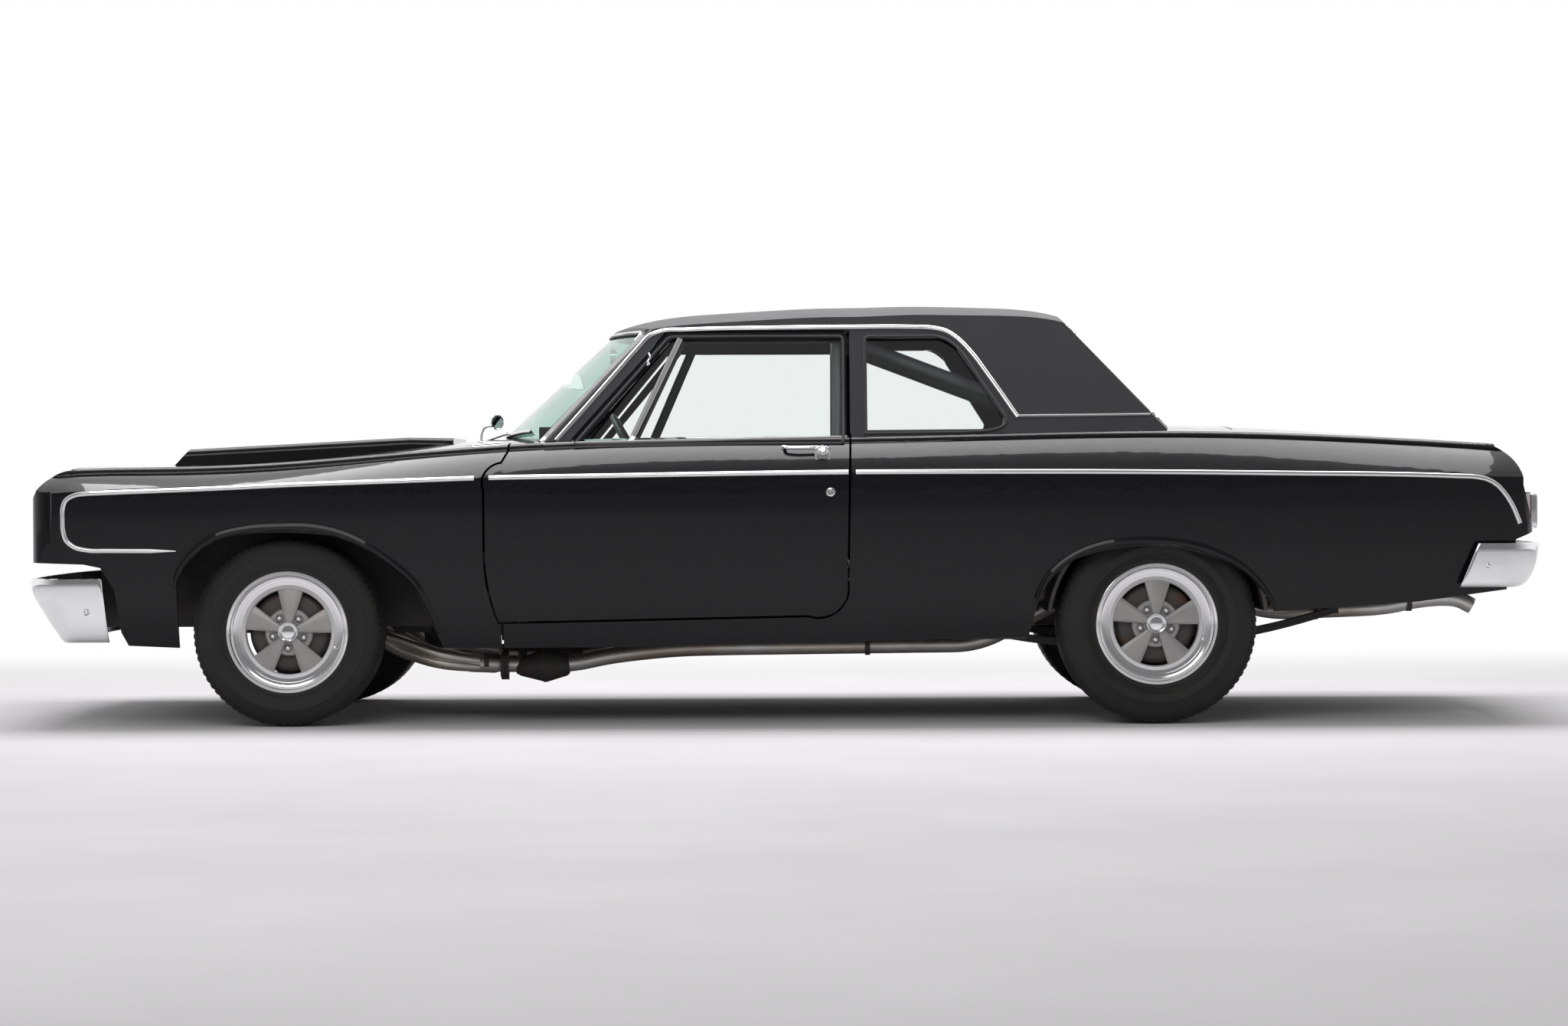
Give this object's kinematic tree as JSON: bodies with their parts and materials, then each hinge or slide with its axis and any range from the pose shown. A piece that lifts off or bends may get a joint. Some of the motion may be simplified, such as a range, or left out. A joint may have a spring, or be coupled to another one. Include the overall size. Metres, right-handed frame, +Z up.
{
  "type": "two-door muscle car sedan",
  "caption": "Two-door sedan with a long hood scoop, bench seats, roll bar and spoked wheels; doors, hood, trunk lid, steering and wheels move.",
  "frame": {"origin": "on the ground under the middle of the car's length and width", "axes": "+X towards the tail, +Y towards the right side, +Z up"},
  "size_m": [5.338, 1.9636, 1.4863],
  "materials": {
    "body_paint": "gloss black",
    "roof_paint": "satin black",
    "chrome": "polished",
    "bright_trim": "polished",
    "glass": "clear",
    "tinted_glass": "tinted",
    "lamp_glass": "clear",
    "red_lens": "gloss",
    "tyre": "matte",
    "wheel_alloy": "polished rim with satin spokes",
    "chassis_black": "semi-gloss",
    "cast_iron": "as cast",
    "engine_paint": "gloss",
    "steel_tube": "heat-toned",
    "roll_bar_paint": "satin grey",
    "cabin_trim": "grained",
    "dash_paint": "satin",
    "mirror_glass": "polished"
  },
  "bodies": {
    "body": {"cowl": "body_paint", "dashboard": "dash_paint", "driveshaft": "chassis_black", "engine": "engine_paint", "engine_bay": "chassis_black", "exhaust": "steel_tube", "fender_left": "body_paint", "fender_right": "body_paint", "floor_pan": "chassis_black", "front_bumper": "chrome", "front_crossmember": "chassis_black", "front_panel": "body_paint", "front_seat": "cabin_trim", "fuel_tank": "steel_tube", "grille": "bright_trim", "headlamps": "lamp_glass", "leaf_springs": "chassis_black", "mirror_inside": "mirror_glass", "parcel_shelf": "cabin_trim", "quarter_glass": "glass", "quarter_left": "body_paint", "quarter_right": "body_paint", "radiator": "chassis_black", "rear_axle": "chassis_black", "rear_bumper": "chrome", "rear_deck": "body_paint", "rear_seat": "cabin_trim", "rear_window": "glass", "roll_bar": "roll_bar_paint", "roof": "roof_paint", "steering_column": "dash_paint", "tail_lamps": "red_lens", "tail_panel": "body_paint", "windshield": "tinted_glass"},
    "door_left": {"door_left": "body_paint", "door_glass_left": "glass"},
    "door_right": {"door_right": "body_paint", "door_glass_right": "glass"},
    "hood": {"hood": "body_paint", "hood_scoop": "body_paint"},
    "trunk_lid": {"trunk_lid": "body_paint"},
    "steering_wheel": {"steering_wheel": "dash_paint"},
    "knuckle_left": {"knuckle_fl": "cast_iron"},
    "knuckle_right": {"knuckle_fr": "cast_iron"},
    "wheel_fl": {"tyre_fl": "tyre", "rim_fl": "wheel_alloy"},
    "wheel_fr": {"tyre_fr": "tyre", "rim_fr": "wheel_alloy"},
    "wheel_rl": {"tyre_rl": "tyre", "rim_rl": "wheel_alloy"},
    "wheel_rr": {"tyre_rr": "tyre", "rim_rr": "wheel_alloy"}
  },
  "joints": [
    {"name": "door_left_hinge", "type": "hinge", "parent": "body", "child": "door_left", "pos_m": [-0.971, -0.955, 0.7], "axis": [0, 0, -1], "range_deg": [0, 65]},
    {"name": "door_right_hinge", "type": "hinge", "parent": "body", "child": "door_right", "pos_m": [-0.971, 0.955, 0.7], "axis": [0, 0, 1], "range_deg": [0, 65]},
    {"name": "hood_hinge", "type": "hinge", "parent": "body", "child": "hood", "pos_m": [-1.082, 0, 1.008], "axis": [0, 1, 0], "range_deg": [0, 50]},
    {"name": "trunk_hinge", "type": "hinge", "parent": "body", "child": "trunk_lid", "pos_m": [1.578, 0, 1.046], "axis": [0, -1, 0], "range_deg": [0, 60]},
    {"name": "steer_left", "type": "hinge", "parent": "body", "child": "knuckle_left", "pos_m": [-1.723, -0.7, 0.329], "axis": [0, 0, 1], "range_deg": [-30, 30]},
    {"name": "steer_right", "type": "hinge", "parent": "body", "child": "knuckle_right", "pos_m": [-1.723, 0.7, 0.329], "axis": [0, 0, 1], "range_deg": [-30, 30]},
    {"name": "steering_wheel_turn", "type": "hinge", "parent": "body", "child": "steering_wheel", "pos_m": [-0.513, -0.37, 0.9], "axis": [0.8829, 0, 0.4695], "range_deg": [-480, 480]},
    {"name": "wheel_fl_roll", "type": "hinge", "parent": "knuckle_left", "child": "wheel_fl", "pos_m": [-1.723, -0.76, 0.329], "axis": [0, 1, 0], "continuous": true},
    {"name": "wheel_fr_roll", "type": "hinge", "parent": "knuckle_right", "child": "wheel_fr", "pos_m": [-1.723, 0.76, 0.329], "axis": [0, 1, 0], "continuous": true},
    {"name": "wheel_rl_roll", "type": "hinge", "parent": "body", "child": "wheel_rl", "pos_m": [1.3, -0.755, 0.347], "axis": [0, 1, 0], "continuous": true},
    {"name": "wheel_rr_roll", "type": "hinge", "parent": "body", "child": "wheel_rr", "pos_m": [1.3, 0.755, 0.347], "axis": [0, 1, 0], "continuous": true}
  ],
  "couplings": [
    {"joint": "steer_right", "follows": "steer_left", "ratio": 1},
    {"joint": "steering_wheel_turn", "follows": "steer_left", "ratio": 16}
  ]
}
